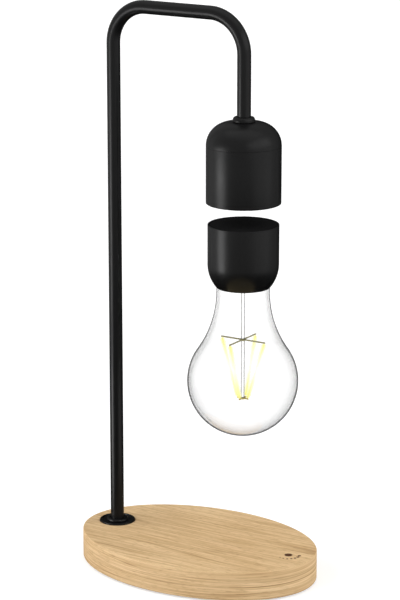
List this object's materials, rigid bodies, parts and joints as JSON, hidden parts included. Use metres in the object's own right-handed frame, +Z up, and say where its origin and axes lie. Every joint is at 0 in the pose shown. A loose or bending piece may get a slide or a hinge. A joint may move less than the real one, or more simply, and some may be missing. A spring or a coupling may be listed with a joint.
{
  "type": "levitating table lamp",
  "caption": "Table lamp with an oval wood base, a bent tube arm with a domed magnet head, and a filament bulb in a cap that floats and spins freely under it.",
  "frame": {"origin": "on the table, under the middle of the oval base", "axes": "+Z up; +X along the base from the pole towards the bulb; +Y towards the back edge, where the power inlet is"},
  "size_m": [0.1406, 0.0966, 0.3137],
  "materials": {
    "oak": "satin",
    "black_coat": "satin",
    "black_shell": "satin",
    "black_plastic": "matte",
    "plate_coat": "matte",
    "rubber": "matte",
    "zinc": "satin",
    "nickel": "polished",
    "copper": "satin",
    "iron": "matte",
    "board": "satin",
    "clear_plastic": "satin",
    "cable": "matte",
    "glass": "polished",
    "support_wire": "satin",
    "light_rod": "satin"
  },
  "bodies": {
    "stand": {"base_body": "oak", "bottom_plate": "plate_coat", "plate_screw_1": "zinc", "plate_screw_2": "zinc", "plate_screw_3": "zinc", "plate_screw_4": "zinc", "rubber_foot_1": "rubber", "rubber_foot_2": "rubber", "rubber_foot_3": "rubber", "rubber_foot_4": "rubber", "control_board": "board", "board_screw_1": "zinc", "board_screw_2": "zinc", "board_screw_3": "zinc", "board_screw_4": "zinc", "touch_pad": "copper", "touch_lead": "cable", "inlet_housing": "black_plastic", "inlet_pin": "nickel", "inlet_nut": "nickel", "inlet_lead_1": "cable", "inlet_lead_2": "cable", "arm_tube": "black_coat", "arm_cable": "cable", "base_flange": "black_coat", "pole_collar": "black_coat", "pole_washer": "zinc", "pole_lock_nut": "zinc", "head_dome": "black_shell", "head_skirt": "black_shell", "head_grommet": "black_shell", "head_washer": "zinc", "head_lock_nut": "zinc", "head_end_plate": "black_plastic", "transmit_coil": "copper", "sensor_board": "board", "coil_bobbin": "clear_plastic", "coil_winding": "copper", "iron_core": "iron", "lifting_magnet": "nickel", "driver_board": "board"},
    "levitator": {"float_magnet": "nickel"},
    "bulb": {"float_cap": "black_shell", "float_lid": "black_plastic", "receive_coil": "copper", "magnet_holder": "clear_plastic", "rectifier_board": "board", "bulb_socket": "clear_plastic", "glass_bulb": "glass", "glass_stem": "glass", "upper_support": "support_wire", "lower_support": "support_wire", "light_rod_1": "light_rod", "light_rod_2": "light_rod", "light_rod_3": "light_rod", "light_rod_4": "light_rod"}
  },
  "joints": [
    {"name": "bulb_lift", "type": "slide", "parent": "stand", "child": "levitator", "axis": [0, 0, 1], "range_m": [-0.006, 0.0112], "stiffness_N_per_m": 80, "springref_m": 0.00987},
    {"name": "bulb_spin", "type": "hinge", "parent": "levitator", "child": "bulb", "pos_m": [0.0281, 0, 0.18], "axis": [0, 0, 1], "continuous": true}
  ]
}
